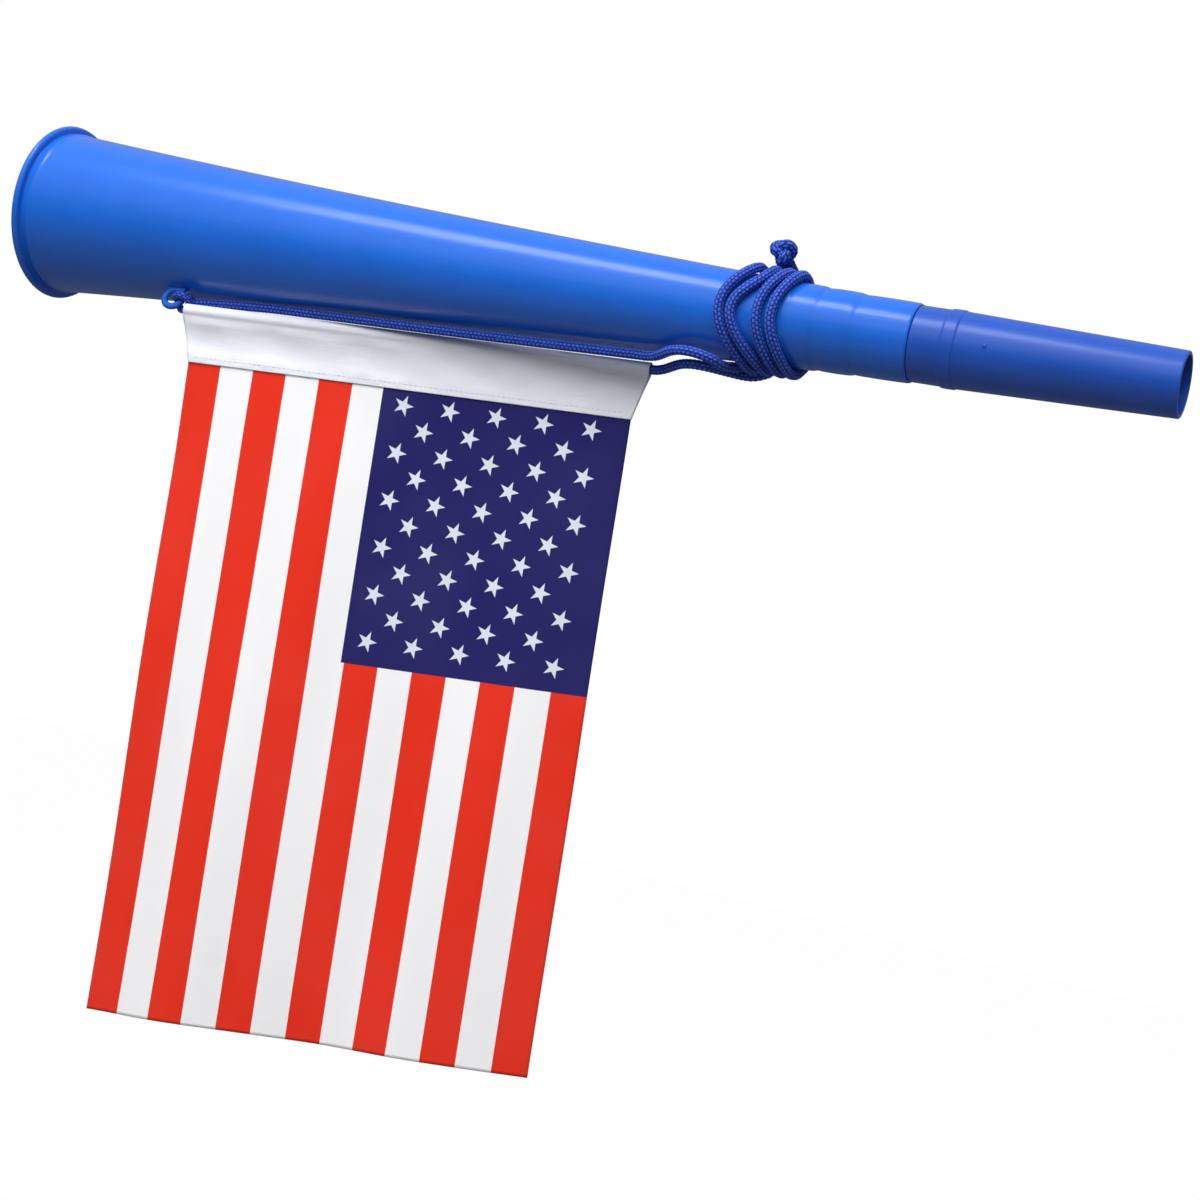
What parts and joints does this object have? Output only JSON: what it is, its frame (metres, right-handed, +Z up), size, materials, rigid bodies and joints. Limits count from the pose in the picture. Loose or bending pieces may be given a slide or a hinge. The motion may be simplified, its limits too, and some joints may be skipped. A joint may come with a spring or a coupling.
{
  "type": "stadium horn",
  "caption": "Straight plastic lip-blown stadium horn with a flared bell, a pull-off mouthpiece, and a cloth flag hung below it from a cord wound round the neck.",
  "frame": {"origin": "on the horn's axis, in the middle of the stepped neck, where a hand holds the horn", "axes": "+X along the horn's axis from the bell to the mouthpiece, +Z up, so the flag hangs towards -Z and its printed face looks towards -Y"},
  "size_m": [0.66, 0.1006, 0.4934],
  "materials": {
    "horn_plastic": "glossy blue",
    "mouthpiece_plastic": "satin dark blue",
    "braided_cord": "braided, royal blue",
    "header_cloth": "plain weave, white",
    "flag_cloth": "plain weave, printed in red, white and blue"
  },
  "bodies": {
    "horn": {"horn_bell": "horn_plastic", "cord_eyelet": "horn_plastic", "eyelet_hitch": "braided_cord", "cord_upper_strand": "braided_cord", "cord_sleeve_strand": "braided_cord", "cord_neck_winding": "braided_cord", "cord_knot": "braided_cord"},
    "mouthpiece": {"mouthpiece_tube": "mouthpiece_plastic", "mouthpiece_cup": "mouthpiece_plastic"},
    "flag": {"flag_header": "header_cloth", "flag_field": "flag_cloth"}
  },
  "joints": [
    {"name": "mouthpiece_pull", "type": "slide", "parent": "horn", "child": "mouthpiece", "axis": [1, 0, 0], "range_m": [0, 0.026]},
    {"name": "flag_swing", "type": "hinge", "parent": "horn", "child": "flag", "pos_m": [-0.24455, -0.0037, -0.0402], "axis": [0.9909, 0.1253, 0.0498], "range_deg": [-80, 80]}
  ]
}
